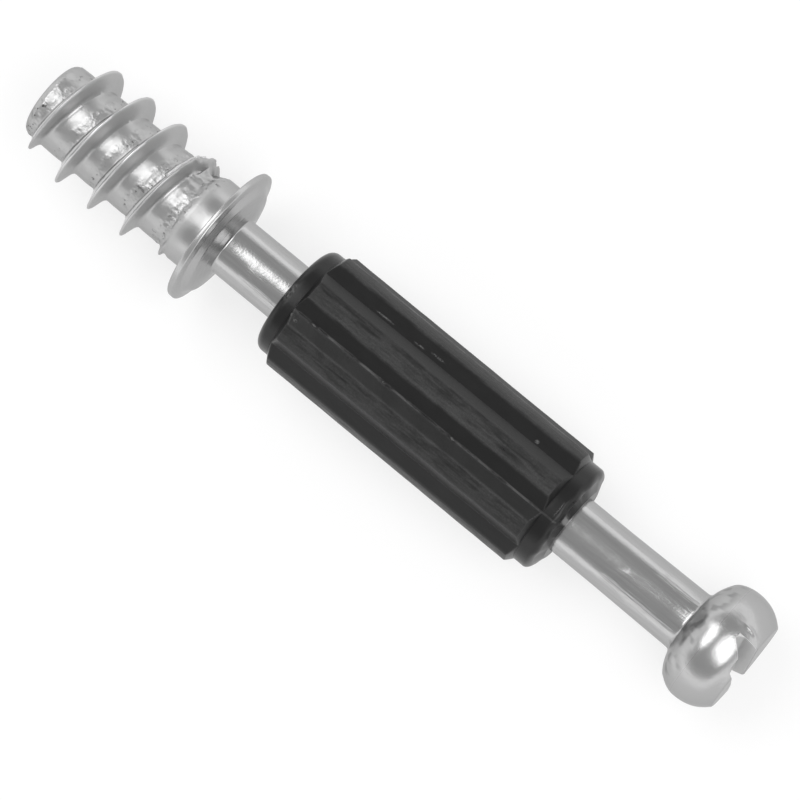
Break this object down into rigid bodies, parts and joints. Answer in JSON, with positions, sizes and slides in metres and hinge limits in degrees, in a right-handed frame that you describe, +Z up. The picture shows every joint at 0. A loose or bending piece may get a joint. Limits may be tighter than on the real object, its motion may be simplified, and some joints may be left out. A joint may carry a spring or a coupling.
{
  "type": "cam dowel",
  "caption": "Steel cam dowel with a coarse screw end, a flange, a ribbed black plastic sleeve and a slotted ball head for a furniture cam.",
  "frame": {"origin": "on the dowel's axis, in the plane of the flange's flat seat face", "axes": "+X along the axis towards the ball head, so the thread is at -X; +Z is up as the dowel lies, and the screwdriver slot's front mouth is 16 degrees from +Z towards +Y"},
  "size_m": [0.045, 0.0078, 0.0078],
  "materials": {
    "zinc_steel": "bright zinc plate, slightly dull and pitted between the threads",
    "black_plastic": "black moulded plastic, satin, with scuffed rib tops"
  },
  "bodies": {
    "root": {"steel_bolt": "zinc_steel", "sleeve": "black_plastic"}
  },
  "joints": []
}
